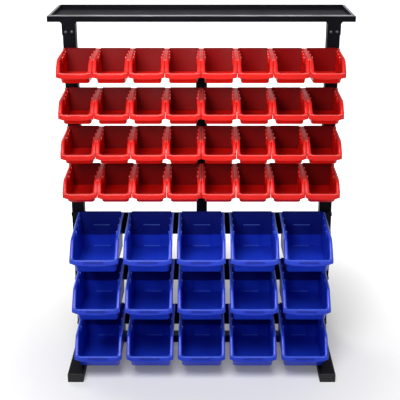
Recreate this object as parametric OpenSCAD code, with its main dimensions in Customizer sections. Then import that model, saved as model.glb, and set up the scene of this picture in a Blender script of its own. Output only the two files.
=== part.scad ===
// Garage storage rack: a free-standing steel frame with a top tray and rows of hanging parts bins.
// Millimetres. +Z is up, the front faces -Y, and the origin is on the floor midway between the feet,
// under the front faces of the uprights. Left and right are as seen from the front.

/* [Red bins] */
// Width of a red bin over its rim
red_w = 105; // [90:1:130]
// Depth of a red bin from its back wall to its lip
red_d = 185; // [170:1:210]
// Height of a red bin at its back wall
red_h = 75; // [65:1:100]
// Depth of the floor of a red bin
red_base_d = 155; // [130:1:165]
// Distance from the back wall to the shoulder of the side walls
red_shoulder_d = 145; // [120:1:155]
// Drop of the rim from the back wall to the shoulder
red_shoulder_drop = 5; // [2:0.5:10]
// Drop of the rim from the back wall to the front lip
red_lip_drop = 39; // [30:1:45]
// Height of the band below the front lip
red_lip_band = 16; // [10:1:20]
// Width of the rim outside the side walls of a red bin
red_rim_out = 6.5; // [4:0.5:8]
// Width of the hook on the back of a red bin
red_hook_w = 90; // [40:1:92]
// Gap between two red bins side by side
red_col_gap = 1; // [0.5:0.5:10]
// Gap between two rows of red bins
red_row_gap = 50; // [40:1:80]
// Red bins in a row
red_cols = 8; // [2:1:8]
// Rows of red bins
red_rows = 4; // [1:1:4]

/* [Blue bins] */
// Width of a blue bin over its rim
blue_w = 150; // [120:1:170]
// Depth of a blue bin from its back wall to its lip
blue_d = 240; // [225:1:270]
// Height of a blue bin at its back wall
blue_h = 124; // [110:1:150]
// Depth of the floor of a blue bin
blue_base_d = 196; // [170:1:205]
// Distance from the back wall to the shoulder of the side walls
blue_shoulder_d = 184; // [150:1:195]
// Drop of the rim from the back wall to the shoulder
blue_shoulder_drop = 14; // [5:1:20]
// Drop of the rim from the back wall to the front lip
blue_lip_drop = 66; // [50:1:72]
// Height of the band below the front lip
blue_lip_band = 15; // [10:1:20]
// How far the band bows down in the middle
blue_band_sag = 4; // [1:0.5:6]
// Width of the rim outside the side walls of a blue bin
blue_rim_out = 8; // [4:0.5:10]
// Width of the hook on the back of a blue bin
blue_hook_w = 130; // [60:1:132]
// Width of the raised panel inside the back wall
blue_panel_w = 55; // [40:1:80]
// Distance from the top of the back wall to the raised panel
blue_panel_drop = 46; // [30:1:70]
// Gap between two blue bins side by side
blue_col_gap = 15; // [2:1:25]
// Gap between two rows of blue bins
blue_row_gap = 44; // [38:1:80]
// Blue bins in a row
blue_cols = 5; // [2:1:5]
// Rows of blue bins
blue_rows = 3; // [1:1:3]

/* [Bin walls] */
// Thickness of the bin walls
bin_wall = 2; // [1.5:0.1:3]
// Height of the skirt that hangs from the rim
rim_skirt = 8; // [5:0.5:12]
// How far a side wall leans in from the rim to the floor
bin_draft = 4.5; // [2:0.5:8]
// Radius of the upright corners of a bin
bin_corner = 9; // [6:0.5:12]
// Overhang of the lip in front of the front wall
lip_overhang = 6; // [5:0.5:9]
// Width of a divider rib
rib_w = 4; // [2:0.5:6]
// How far a divider rib stands out from the side wall
rib_out = 3; // [1:0.1:4]
// Height of a divider rib
rib_h = 22; // [15:1:30]
// Divider ribs on each side wall
rib_count = 3; // [1:1:5]
// How far the raised panel stands out from the back wall
panel_out = 2; // [1:0.5:4]
// Width of the label slot in the lip band
slot_w = 62; // [30:1:80]
// Height of the label slot
slot_h = 8; // [4:0.5:9]
// Depth of the label slot
slot_depth = 1; // [0.5:0.1:1.3]

/* [Bin hooks] */
// Thickness of the hook where it lies on the rail
hook_t = 3; // [2:0.5:5]
// How far the hook's tongue hangs behind the rail's lip
hook_drop = 10; // [6:0.5:12]
// Thickness of the hook's tongue
tongue_t = 2.5; // [2:0.1:4]
// Clearance between the tongue and the rail's lip
tongue_clear = 0.8; // [0.4:0.1:1.5]
// Clearance between a bin's back wall and the rail
bin_clear = 0.5; // [0.3:0.1:2]

/* [Rails] */
// Height of a rail
rail_h = 78; // [60:1:90]
// Depth of a rail from the uprights to its lips
rail_d = 12; // [10:0.5:18]
// Thickness of the rail's sheet
rail_t = 1.5; // [1:0.1:2.5]
// Height of the rail's upturned top lip
rail_lip = 14; // [13:0.5:20]
// Height of the rail's bottom lip
rail_foot_lip = 10; // [5:0.5:15]
// Rail left over past the outermost bins, at each end
rail_margin = 5; // [1:0.5:20]

/* [Frame] */
// Width of an upright's tube
upright_w = 40; // [34:1:60]
// Depth of an upright's tube
upright_d = 40; // [30:1:60]
// Wall of the uprights' tubes
upright_wall = 1.5; // [1:0.1:3]
// Outer corner radius of the tubes
tube_corner = 3; // [2.5:0.5:4]
// Width of the centre strut
strut_w = 35; // [25:1:60]
// Depth of the centre strut
strut_d = 15; // [12:1:30]
// Thickness of the centre strut's sheet
strut_t = 1.5; // [1:0.1:3]
// Gap between the bottom row of bins and the feet
floor_gap = 2; // [1:0.5:20]
// Gap between the top row of blue bins and the bottom row of red bins
group_gap = 93; // [70:1:140]
// Gap between the top row of red bins and the tray
tray_gap = 78; // [70:1:140]

/* [Feet] */
// Width of a foot's tube
foot_w = 50; // [45:1:80]
// Height of a foot's tube
foot_h = 30; // [26:1:50]
// Wall of the feet's tubes
foot_wall = 1.5; // [1:0.1:3]
// How far a foot reaches past the lips of the blue bins
toe = 2.5; // [1:0.5:40]
// Thickness of an end cap's flange
cap_t = 3; // [2:0.5:6]
// Depth of an end cap's plug
cap_plug = 14; // [8:1:30]
// Wall of an end cap's plug
cap_wall = 2; // [1.5:0.1:4]
// Height of the stub that the upright slides over
stub_h = 70; // [50:1:120]
// Wall of the stub
stub_wall = 2; // [1.5:0.1:4]
// Clearance between plugs or stubs and the tubes around them
slip = 0.4; // [0.2:0.1:1]
// Height of the gussets between feet and uprights
gusset_h = 36; // [20:1:40]
// Length of the gussets along the feet
gusset_l = 44; // [20:1:80]
// Thickness of the gussets' sheet
gusset_t = 2; // [1.5:0.1:4]
// Clearance between a gusset and the blue bin beside it
gusset_clear = 2; // [1:0.5:6]
// Depth of the bottom crossbar
bar_d = 40; // [20:1:60]
// Height of the bottom crossbar
bar_h = 26; // [15:0.5:26]
// Wall of the bottom crossbar
bar_wall = 1.5; // [1:0.1:3]
// Distance of the bottom crossbar in front of the uprights' front faces
bar_ahead = 10; // [0:1:20]

/* [Tray] */
// Depth of the tray
tray_d = 230; // [150:1:250]
// Height of the tray's outer lip
tray_lip = 20; // [16:1:40]
// Depth of the tray inside
tray_inside = 13; // [8:0.5:14]
// Width of the tray's rim
tray_rim = 12; // [8:0.5:20]
// Thickness of the tray's sheet
tray_t = 1.5; // [1:0.1:2]
// How far the tray reaches past each upright
tray_overhang = 46.5; // [20:0.5:80]
// How far the tray brackets reach down the uprights
bracket_drop = 40; // [35:1:60]
// Thickness of the brackets' sheet
bracket_t = 1.5; // [1:0.1:3]
// Width of the flange that carries the tray
bracket_flange = 20; // [12:1:35]
// Height of the bracket's arm at its rear end
arm_tip = 14; // [8:1:25]
// Gap between the bracket's arm and the tray's rear rim
arm_short = 6; // [2:1:40]
// How far the bracket's front plate widens on the tray's lip
plate_flare = 5; // [2:0.5:10]
// Distance of the front plate's upper edge below the rim
plate_below = 1; // [0.5:0.5:4]

/* [Fasteners] */
// Diameter of the bolts
bolt_d = 5; // [4:0.5:7]
// Width across flats of bolt heads and nuts
hex_flats = 8; // [7:0.5:11]
// Height of the bolt heads
head_h = 3.5; // [2.5:0.1:5]
// Height of the nuts
nut_h = 4; // [3:0.1:6]
// Clearance of a bolt in its hole, across the diameter
bolt_clear = 0.6; // [0.2:0.1:1]
// Clearance of a nut on its bolt, across the diameter
nut_clear = 0.2; // [0.1:0.05:0.4]
// Length of bolt past its nut
bolt_past = 2; // [1:0.5:6]
// Distance from the rail's bottom edge to its lower bolts
bolt_low = 20; // [16:0.5:22]
// Distance between the two bolts at a rail's end
bolt_rise = 26; // [14:0.5:30]
// Distance from a bracket's lower edge to its bolts
bracket_bolt_up = 10; // [7:0.5:20]
// Distance of a bracket's bolts from the middle of the upright
bracket_bolt_side = 9.5; // [7:0.5:12]
// Distance from the foot to the bolt that holds the upright
foot_bolt_up = 45; // [15:1:60]
// Length of the bolt that holds the upright
foot_bolt_l = 12; // [8:0.5:25]

/* [Hidden] */
corner_fn = 12;
cut = 1;
plate = 0.01;

// Widths and places that follow from the bins
red_pitch = red_w + red_col_gap;
blue_pitch = blue_w + blue_col_gap;
red_rise = red_h + red_row_gap;
blue_rise = blue_h + blue_row_gap;
frame_w = max(red_cols * red_pitch - red_col_gap, blue_cols * blue_pitch - blue_col_gap)
    + 2 * rail_margin;
bin_back = rail_d + bin_clear;
foot_reach = bin_back + max(red_d, blue_d) + toe;
blue_floor = foot_h + floor_gap;
red_floor = blue_floor + blue_rows * blue_rise - blue_row_gap + group_gap;
tray_bottom = red_floor + red_rows * red_rise - red_row_gap + tray_gap;
tray_top = tray_bottom + tray_lip;
tray_under = tray_top - tray_inside - tray_t;
tray_w = frame_w + 2 * tray_overhang;
upright_x = (frame_w - upright_w) / 2;
foot_x = (frame_w - foot_w) / 2;
shelf_z = rail_h - rail_lip;
hook_gap = bin_clear + rail_t + tongue_clear;
arm_end = tray_d - tray_rim - arm_short;
bracket_z = tray_bottom - bracket_drop;

// Rows are counted from the top and columns from the left
function red_z(row) = red_floor + (red_rows - row) * red_rise;
function blue_z(row) = blue_floor + (blue_rows - row) * blue_rise;
function red_x(col) = (col - (red_cols + 1) / 2) * red_pitch;
function blue_x(col) = (col - (blue_cols + 1) / 2) * blue_pitch;
red_rails_z = [for (row = [1:red_rows]) red_z(row) + red_h - hook_t - rail_h];
blue_rails_z = [for (row = [1:blue_rows]) blue_z(row) + blue_h - hook_t - rail_h];
rails_z = concat(red_rails_z, blue_rails_z);
strut_bottom = min(rails_z);
strut_top = max(rails_z) + shelf_z;
blue_reach = blue_x(blue_cols) + blue_w / 2 - blue_rim_out;
gusset_w = min(upright_w, frame_w / 2 - blue_reach - gusset_clear);

function red_name(row, col) = str("red_bin_r", row, "_c", col);
function blue_name(row, col) = str("blue_bin_r", row, "_c", col);

// Colours
black_coat = [0.07, 0.07, 0.08];
zinc = [0.75, 0.76, 0.78];
black_plastic = [0.05, 0.05, 0.05];
bin_red = [0.82, 0.06, 0.05];
bin_blue = [0.06, 0.14, 0.72];

// A side profile of [forward, up] points, swept across the rack and centred on x = 0
module across(width, points) {
    rotate([90, 0, -90]) linear_extrude(width, center = true) polygon(points);
}

// A front profile swept forward from y = 0
module forward(depth) {
    rotate([90, 0, 0]) linear_extrude(depth) children();
}

// A rectangle with round corners, centred on the origin
module round_rect(w, h, r, fn) {
    square([w - 2 * r, h], center = true);
    square([w, h - 2 * r], center = true);
    for (x = [-1, 1])
        for (y = [-1, 1])
            translate([x * (w / 2 - r), y * (h / 2 - r)]) circle(r, $fn = fn);
}

// A round-cornered tube section, centred on the origin
module tube_section(w, h, wall) {
    difference() {
        round_rect(w, h, tube_corner, 48);
        round_rect(w - 2 * wall, h - 2 * wall, max(tube_corner - wall, 0.5), 48);
    }
}

// A hole or shank along Y, starting at y and running back
module along_y(d, y, length) {
    translate([0, y, 0]) rotate([-90, 0, 0]) cylinder(h = length, d = d, $fn = 32);
}

// Upright front faces lie at y = 0, and all rail bolts share these places
module at_upright_bolts() {
    for (z = rails_z)
        for (up = [bolt_low, bolt_low + bolt_rise])
            translate([0, 0, z + up]) children();
}

module at_bracket_bolts() {
    for (side = [-1, 1])
        translate([side * bracket_bolt_side, 0, bracket_z + bracket_bolt_up]) children();
}

module at_strut_bolts() {
    for (z = rails_z)
        translate([0, 0, z + bolt_low + bolt_rise / 2]) children();
}

// Uprights
module upright(side) {
    hole_d = bolt_d + bolt_clear;
    color(black_coat)
    translate([side * upright_x, 0, 0]) difference() {
        translate([0, upright_d / 2, foot_h])
            linear_extrude(tray_bottom - foot_h) tube_section(upright_w, upright_d, upright_wall);
        at_upright_bolts() along_y(hole_d, -cut, upright_d + 2 * cut);
        at_bracket_bolts() along_y(hole_d, -cut, upright_d + 2 * cut);
        translate([-side * upright_w / 2, upright_d / 2, foot_h + foot_bolt_up])
            rotate([0, 90, 0]) cylinder(h = 4 * upright_wall, d = hole_d, center = true, $fn = 32);
    }
}

// Feet
module gusset() {
    outer = [[0, 0], [gusset_l, 0], [0, gusset_h]];
    lean = norm([gusset_l, gusset_h]) * gusset_t;
    inner = [[-cut, -cut], [gusset_l - lean / gusset_h, -cut], [gusset_l - lean / gusset_h, 0],
             [0, gusset_h - lean / gusset_l], [-cut, gusset_h - lean / gusset_l]];
    difference() {
        across(gusset_w, outer);
        across(gusset_w - 2 * gusset_t, inner);
    }
}

// The bolts of the lowest rail may pass through the stub, so it has their holes too
module foot(side) {
    stub_w = upright_w - 2 * upright_wall - 2 * slip;
    stub_d = upright_d - 2 * upright_wall - 2 * slip;
    hole_d = bolt_d + bolt_clear;
    color(black_coat) {
        translate([side * foot_x, foot_reach - cap_t, foot_h / 2])
            forward(2 * (foot_reach - cap_t)) tube_section(foot_w, foot_h, foot_wall);
        translate([side * upright_x, 0, foot_h]) {
            difference() {
                translate([0, upright_d / 2, 0]) linear_extrude(stub_h) difference() {
                    square([stub_w, stub_d], center = true);
                    square([stub_w - 2 * stub_wall, stub_d - 2 * stub_wall], center = true);
                }
                translate([-side * stub_w / 2, upright_d / 2, foot_bolt_up])
                    rotate([0, 90, 0]) cylinder(h = 4 * stub_wall, d = hole_d, center = true, $fn = 32);
                translate([0, 0, -foot_h]) at_upright_bolts() along_y(hole_d, -cut, upright_d + 2 * cut);
            }
            translate([side * (upright_w - gusset_w) / 2, 0, 0]) {
                gusset();
                translate([0, upright_d, 0]) mirror([0, 1, 0]) gusset();
            }
        }
    }
}

module foot_end_caps() {
    plug_w = foot_w - 2 * foot_wall - 2 * slip;
    plug_h = foot_h - 2 * foot_wall - 2 * slip;
    color(black_plastic)
    for (side = [-1, 1])
        for (turn = [0, 180])
            translate([side * foot_x, 0, foot_h / 2]) rotate([0, 0, turn])
                translate([0, cap_t - foot_reach, 0]) {
                    forward(cap_t) round_rect(foot_w, foot_h, tube_corner, 48);
                    translate([0, cap_plug, 0]) forward(cap_plug) difference() {
                        square([plug_w, plug_h], center = true);
                        square([plug_w - 2 * cap_wall, plug_h - 2 * cap_wall], center = true);
                    }
                }
}

module bottom_crossbar() {
    color(black_coat)
    translate([0, bar_d / 2 - bar_ahead, foot_h / 2]) rotate([90, 0, -90])
        linear_extrude(frame_w - 2 * foot_w, center = true) tube_section(bar_d, bar_h, bar_wall);
}

// Tray
module top_tray() {
    inner_w = tray_w - 2 * tray_rim;
    inner_d = tray_d - 2 * tray_rim;
    floor_up = tray_lip - tray_inside;
    color(black_coat)
    translate([0, tray_d / 2, tray_bottom]) difference() {
        translate([0, 0, tray_lip / 2]) cube([tray_w, tray_d, tray_lip], center = true);
        translate([-inner_w / 2, -inner_d / 2, floor_up]) cube([inner_w, inner_d, tray_inside + cut]);
        translate([-tray_w / 2 + tray_t, -tray_d / 2 + tray_t, -cut])
            cube([tray_w - 2 * tray_t, tray_d - 2 * tray_t, floor_up - tray_t + cut]);
        difference() {
            translate([-tray_w / 2 + tray_t, -tray_d / 2 + tray_t, -cut])
                cube([tray_w - 2 * tray_t, tray_d - 2 * tray_t, tray_lip - tray_t + cut]);
            translate([-inner_w / 2 - tray_t, -inner_d / 2 - tray_t, -2 * cut])
                cube([inner_w + 2 * tray_t, inner_d + 2 * tray_t, tray_lip + 3 * cut]);
        }
    }
}

module tray_bracket() {
    behind = tray_rim + tray_t;
    half = upright_w / 2;
    right = half + bracket_t;
    flare_z = tray_bottom - plate_flare;
    plate_top = tray_top - plate_below;
    front_plate = [[-half, bracket_z], [right, bracket_z], [right, flare_z],
                   [right + plate_flare, tray_bottom], [right + plate_flare, plate_top],
                   [-half - plate_flare, plate_top], [-half - plate_flare, tray_bottom], [-half, flare_z]];
    side_plate = [[bracket_t, bracket_z], [bracket_t, flare_z], [-behind, flare_z], [-behind, tray_under],
                  [-arm_end, tray_under], [-arm_end, tray_under - arm_tip], [-upright_d, bracket_z]];
    difference() {
        union() {
            forward(bracket_t) polygon(front_plate);
            translate([half + bracket_t / 2, 0, 0]) across(bracket_t, side_plate);
            translate([half, behind, tray_under - bracket_t])
                cube([bracket_flange, arm_end - behind, bracket_t]);
        }
        at_bracket_bolts() along_y(bolt_d + bolt_clear, -bracket_t - cut, bracket_t + 2 * cut);
    }
}

module tray_brackets() {
    color(black_coat) {
        translate([upright_x, 0, 0]) tray_bracket();
        mirror([1, 0, 0]) translate([upright_x, 0, 0]) tray_bracket();
    }
}

// Rails: a folded channel whose upturned top lip takes the hooks of the bins
module rail() {
    hole_d = bolt_d + bolt_clear;
    section = [[0, 0], [rail_d, 0], [rail_d, rail_foot_lip], [rail_d - rail_t, rail_foot_lip],
               [rail_d - rail_t, rail_t], [rail_t, rail_t], [rail_t, shelf_z - rail_t],
               [rail_d, shelf_z - rail_t], [rail_d, rail_h], [rail_d - rail_t, rail_h],
               [rail_d - rail_t, shelf_z], [0, shelf_z]];
    difference() {
        across(frame_w, section);
        for (side = [-1, 1])
            for (up = [bolt_low, bolt_low + bolt_rise])
                translate([side * upright_x, 0, up]) along_y(hole_d, -rail_t - cut, rail_t + 2 * cut);
        translate([0, 0, bolt_low + bolt_rise / 2]) along_y(hole_d, -rail_t - cut, rail_t + 2 * cut);
    }
}

module red_bin_rails() {
    color(black_coat)
    for (z = red_rails_z)
        translate([0, 0, z]) rail();
}

module blue_bin_rails() {
    color(black_coat)
    for (z = blue_rails_z)
        translate([0, 0, z]) rail();
}

// Centre strut: a channel, open at the back, that ties the rails together at their middle
module centre_strut() {
    color(black_coat)
    difference() {
        translate([-strut_w / 2, 0, strut_bottom]) cube([strut_w, strut_d, strut_top - strut_bottom]);
        translate([-strut_w / 2 + strut_t, strut_t, strut_bottom - cut])
            cube([strut_w - 2 * strut_t, strut_d, strut_top - strut_bottom + 2 * cut]);
        at_strut_bolts() along_y(bolt_d + bolt_clear, -cut, strut_t + 2 * cut);
    }
}

// Bolts and nuts: a bolt's head bears on y = 0 and its shank runs back through the grip
module bolt(grip) {
    along_y(bolt_d, -head_h / 2, grip + nut_h + bolt_past + head_h / 2);
    translate([0, -head_h, 0]) rotate([-90, 0, 0]) cylinder(h = head_h, d = hex_flats / cos(30), $fn = 6);
}

module nut() {
    difference() {
        rotate([-90, 0, 0]) cylinder(h = nut_h, d = hex_flats / cos(30), $fn = 6);
        along_y(bolt_d + nut_clear, -cut, nut_h + 2 * cut);
    }
}

module bolts() {
    color(zinc) {
        for (side = [-1, 1]) {
            translate([side * upright_x, -rail_t, 0]) at_upright_bolts() bolt(rail_t + upright_d);
            translate([side * upright_x, -bracket_t, 0]) at_bracket_bolts() bolt(bracket_t + upright_d);
            translate([side * (upright_x - upright_w / 2), upright_d / 2, foot_h + foot_bolt_up])
                rotate([0, 0, -side * 90]) bolt(foot_bolt_l - nut_h - bolt_past);
        }
        translate([0, -rail_t, 0]) at_strut_bolts() bolt(rail_t + strut_t);
    }
}

module nuts() {
    color(zinc) {
        for (side = [-1, 1])
            translate([side * upright_x, upright_d, 0]) {
                at_upright_bolts() nut();
                at_bracket_bolts() nut();
            }
        translate([0, strut_t, 0]) at_strut_bolts() nut();
    }
}

// Bins. A bin's back wall stands on y = 0, its floor on z = 0, and it opens upwards and forwards.
// Its body is lofted between a floor outline and a larger one at the rim, then cut to its side profile.
module bin_loft(half_floor, half_top, back, front_floor, front_top, low, high, r) {
    hull() {
        translate([0, -(back + front_floor) / 2, low])
            linear_extrude(plate) round_rect(2 * half_floor, front_floor - back, r, corner_fn);
        translate([0, -(back + front_top) / 2, high - plate])
            linear_extrude(plate) round_rect(2 * half_top, front_top - back, r, corner_fn);
    }
}

// Lower edge of the lip band, seen from the front, from the left corner to the right one
function band_edge(half, low, r, sag) = concat(
    [for (a = [180:30:240]) [-half + r + r * cos(a), low + r + r * sin(a)]],
    [for (s = [-1:0.25:1]) [s * (half - r), low - sag * (1 - s * s)]],
    [for (a = [300:30:360]) [half - r + r * cos(a), low + r + r * sin(a)]]
);

module bin(w, d, h, base_d, shoulder_d, shoulder_drop, lip_drop, band, sag, rim_out, hook_w,
           panel_w, panel_drop, slot) {
    lip_z = h - lip_drop;
    shoulder_z = h - shoulder_drop;
    front = d - lip_overhang;
    rake = (front - base_d) / lip_z;
    wall_ahead = bin_wall * sqrt(1 + rake * rake);
    front_in = front - wall_ahead;
    half_top = w / 2 - rim_out;
    half_floor = half_top - bin_draft;
    inner_floor = half_floor + bin_draft * bin_wall / h - bin_wall;
    inner_top = half_top - bin_wall;
    band_low = lip_z - band - sag;
    rib_top = shoulder_drop + 2 * cut;

    profile = [[0, 0], [front, 0], [front, lip_z], [front_in, lip_z], [shoulder_d, shoulder_z], [0, h]];
    rim = [[0, h], [shoulder_d, shoulder_z], [front_in, lip_z], [d, lip_z], [d, band_low],
           [shoulder_d, shoulder_z - rim_skirt], [0, h - rim_skirt]];
    under_rim = [[-cut, h - bin_wall], [shoulder_d, shoulder_z - bin_wall], [front_in, lip_z - bin_wall],
                 [d - bin_wall, lip_z - bin_wall], [d - bin_wall, band_low - cut],
                 [shoulder_d, shoulder_z - rim_skirt - cut], [-cut, h - rim_skirt - cut]];
    hook = [[cut, h], [cut, h - hook_t], [-hook_gap, h - hook_t], [-hook_gap, h - hook_t - hook_drop],
            [-hook_gap - tongue_t, h - hook_t - hook_drop], [-hook_gap - tongue_t, h]];

    difference() {
        union() {
            intersection() {
                bin_loft(half_floor, half_top, 0, base_d, base_d + rake * h, 0, h, bin_corner);
                across(w, profile);
            }
            difference() {
                intersection() {
                    across(w, rim);
                    forward(d + cut) polygon(concat([[-w / 2, h + cut]],
                        band_edge(w / 2, band_low + sag, bin_corner, sag), [[w / 2, h + cut]]));
                }
                across(w - 2 * bin_wall, under_rim);
                if (slot)
                    translate([-slot_w / 2, -d - cut, lip_z - (band + slot_h) / 2])
                        cube([slot_w, slot_depth + cut, slot_h]);
            }
        }
        difference() {
            bin_loft(inner_floor, inner_top + bin_draft * cut / h, bin_wall, base_d + rake * bin_wall - wall_ahead,
                     front_in + rake * (h + cut - lip_z), bin_wall, h + cut, bin_corner - bin_wall);
            for (side = [-1, 1])
                for (i = [1:rib_count])
                    translate([side * (inner_top + (bin_wall - rib_out) / 2),
                               -shoulder_d * i / (rib_count + 1), h - shoulder_drop + (rib_top - rib_h) / 2])
                        cube([rib_out + bin_wall, rib_w, rib_h + rib_top], center = true);
            if (panel_w > 0)
                translate([-panel_w / 2, -bin_wall - panel_out, 0])
                    cube([panel_w, bin_wall + panel_out, h - panel_drop]);
        }
    }
    across(hook_w, hook);
}

module red_bin(row, col) {
    color(bin_red)
    translate([red_x(col), -bin_back, red_z(row)])
        bin(red_w, red_d, red_h, red_base_d, red_shoulder_d, red_shoulder_drop, red_lip_drop,
            red_lip_band, 0, red_rim_out, red_hook_w, 0, 0, false);
}

module blue_bin(row, col) {
    color(bin_blue)
    translate([blue_x(col), -bin_back, blue_z(row)])
        bin(blue_w, blue_d, blue_h, blue_base_d, blue_shoulder_d, blue_shoulder_drop, blue_lip_drop,
            blue_lip_band, blue_band_sag, blue_rim_out, blue_hook_w, blue_panel_w, blue_panel_drop, true);
}

upright(-1);  // left_upright
upright(1);  // right_upright
foot(-1);  // left_foot
foot(1);  // right_foot
foot_end_caps();
bottom_crossbar();
top_tray();
tray_brackets();
red_bin_rails();
blue_bin_rails();
centre_strut();
bolts();
nuts();
for (row = [1:red_rows])
    for (col = [1:red_cols])
        red_bin(row, col);
for (row = [1:blue_rows])
    for (col = [1:blue_cols])
        blue_bin(row, col);
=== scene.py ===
# %% [markdown]
# # A garage storage rack with hanging parts bins
# The rack is a black steel frame with seven rails. Thirty-two small red bins and fifteen larger blue bins
# hang on the rails by hooks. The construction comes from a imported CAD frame, in metres, and these cells add
# the looks: moulded bins with real walls and rims, a folded tray, hex fasteners, finishes, light and a
# camera.

import math

import bmesh
import bpy
from mathutils import Matrix, Vector


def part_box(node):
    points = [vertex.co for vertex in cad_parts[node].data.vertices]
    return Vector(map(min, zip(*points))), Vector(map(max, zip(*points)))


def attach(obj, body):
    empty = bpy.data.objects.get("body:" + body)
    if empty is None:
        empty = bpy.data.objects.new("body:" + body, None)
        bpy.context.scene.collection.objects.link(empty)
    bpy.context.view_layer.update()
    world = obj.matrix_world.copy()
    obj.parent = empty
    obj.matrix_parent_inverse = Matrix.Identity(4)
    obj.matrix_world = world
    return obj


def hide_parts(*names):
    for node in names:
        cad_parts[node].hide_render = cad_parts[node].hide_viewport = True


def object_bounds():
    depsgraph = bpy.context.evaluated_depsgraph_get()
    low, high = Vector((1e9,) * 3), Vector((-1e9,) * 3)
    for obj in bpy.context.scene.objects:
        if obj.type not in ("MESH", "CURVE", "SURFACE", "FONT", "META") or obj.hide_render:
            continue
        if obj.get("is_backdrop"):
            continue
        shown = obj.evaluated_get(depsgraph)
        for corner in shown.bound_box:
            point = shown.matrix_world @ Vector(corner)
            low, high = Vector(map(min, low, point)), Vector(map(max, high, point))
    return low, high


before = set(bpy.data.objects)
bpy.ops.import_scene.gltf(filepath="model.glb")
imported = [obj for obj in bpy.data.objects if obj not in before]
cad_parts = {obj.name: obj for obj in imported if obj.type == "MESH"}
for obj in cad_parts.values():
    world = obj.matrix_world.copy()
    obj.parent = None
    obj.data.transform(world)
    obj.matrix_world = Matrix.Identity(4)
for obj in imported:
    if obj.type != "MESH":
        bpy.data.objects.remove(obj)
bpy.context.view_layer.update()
MM = 0.001

# %% [markdown]
# ## The camera
# The photograph was taken from in front of the rack and a little above its top. Its upright edges stay
# parallel, so the picture was squared up afterwards. A plain camera that looks slightly down, from a bit
# further back, keeps the same insides of the bins in view, and a long lens keeps the uprights nearly
# parallel.

# %% Place the camera
PICTURE_PX = 400
FOCAL_PX = 880
CAMERA_PLACE = (0.0174, -2.7, 1.57)
CAMERA_PITCH = math.radians(18.9)
SHIFT_X = -0.0175
SHIFT_Y = -0.085

camera_data = bpy.data.cameras.new("photo_camera")
camera = bpy.data.objects.new("photo_camera", camera_data)
bpy.context.scene.collection.objects.link(camera)
camera_data.lens = camera_data.sensor_width * FOCAL_PX / PICTURE_PX
camera_data.shift_x = SHIFT_X
camera_data.shift_y = SHIFT_Y
camera.location = CAMERA_PLACE
camera.rotation_euler = (math.radians(90) - CAMERA_PITCH, 0, 0)
bpy.context.scene.camera = camera
print("camera: lens", round(camera_data.lens, 1), "mm")

# %% [markdown]
# ## Modelling by hand, in code
# Each new piece starts as a primitive at its real size and is shaped in edit mode. The helpers below add a
# box, select parts of the mesh by where they are, and apply modifiers, so that the later cells read like the
# steps a person would take at the screen. Points that later steps need again get a mark, because an
# operator may give the points of a mesh new numbers.

# %% Helpers for adding and selecting
TINY = 0.02 * MM
FACING = 0.9


def rest():
    """Leaves edit mode and selects nothing."""
    if bpy.context.mode != "OBJECT":
        bpy.ops.object.mode_set(mode="OBJECT")
    bpy.ops.object.select_all(action="DESELECT")


def edit(piece):
    """Opens one piece in edit mode."""
    rest()
    bpy.context.view_layer.objects.active = piece
    piece.select_set(True)
    bpy.ops.object.mode_set(mode="EDIT")


def add_box(name, low, high):
    """A box between two corners, with its place in its mesh."""
    rest()
    low, high = Vector(low), Vector(high)
    bpy.ops.mesh.primitive_cube_add(size=1, location=(low + high) / 2)
    piece = bpy.context.object
    piece.name = name
    piece.scale = high - low
    bpy.ops.object.transform_apply(location=True, rotation=True, scale=True)
    return piece


def pick(kind, test):
    """Selects the verts, edges or faces of the open piece for which test(part) holds."""
    mode = {"verts": "VERT", "edges": "EDGE", "faces": "FACE"}[kind]
    bpy.ops.mesh.select_mode(type=mode)
    bpy.ops.mesh.select_all(action="DESELECT")
    mesh = bmesh.from_edit_mesh(bpy.context.object.data)
    for part in getattr(mesh, kind):
        if test(part):
            part.select_set(True)
    mesh.select_flush_mode()
    bmesh.update_edit_mesh(bpy.context.object.data)


def mark(name):
    """Marks the selected points. A point has one mark, and an extruded copy starts with the same one."""
    mesh = bmesh.from_edit_mesh(bpy.context.object.data)
    marks = mesh.verts.layers.string.get("mark") or mesh.verts.layers.string.new("mark")
    for v in mesh.verts:
        if v.select:
            v[marks] = name.encode()


def marked(part, name):
    """Whether a point, or each end of an edge, has this mark."""
    marks = bmesh.from_edit_mesh(bpy.context.object.data).verts.layers.string["mark"]
    return all(v[marks] == name.encode() for v in getattr(part, "verts", [part]))


def middle(part):
    """The middle of an edge or face."""
    return sum((v.co for v in part.verts), Vector()) / len(part.verts)


# %% Helpers for moving, joining and finishing
SHARP = math.radians(35)
SHARP_STEPS = 2
SMOOTH = math.radians(32)


def move(x=0.0, y=0.0, z=0.0):
    """Moves what is selected."""
    bpy.ops.transform.translate(value=(x, y, z))


def bevel(width, steps):
    """Rounds the selected edges."""
    bpy.ops.mesh.bevel(offset=width, segments=steps, affect="EDGES", clamp_overlap=True)


def finish_modifier(piece, kind, **settings):
    """Adds a modifier with these settings and applies it."""
    rest()
    bpy.context.view_layer.objects.active = piece
    piece.select_set(True)
    modifier = piece.modifiers.new(kind.lower(), kind)
    for name, value in settings.items():
        setattr(modifier, name, value)
    bpy.ops.object.modifier_apply(modifier=modifier.name)


def round_edges(piece, width):
    """Rounds the edges of a piece that are sharper than SHARP."""
    finish_modifier(piece, "BEVEL", width=width, segments=SHARP_STEPS, limit_method="ANGLE",
                    angle_limit=SHARP, miter_outer="MITER_ARC", use_clamp_overlap=True)


def join(pieces):
    """Joins pieces into the first one."""
    rest()
    for piece in pieces:
        piece.select_set(True)
    bpy.context.view_layer.objects.active = pieces[0]
    bpy.ops.object.join()
    return pieces[0]


def fuse(piece, other, operation="UNION"):
    """Unites one piece with another, or cuts the other one out of it."""
    finish_modifier(piece, "BOOLEAN", operation=operation, object=other, solver="EXACT")
    bpy.data.objects.remove(other)


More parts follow.
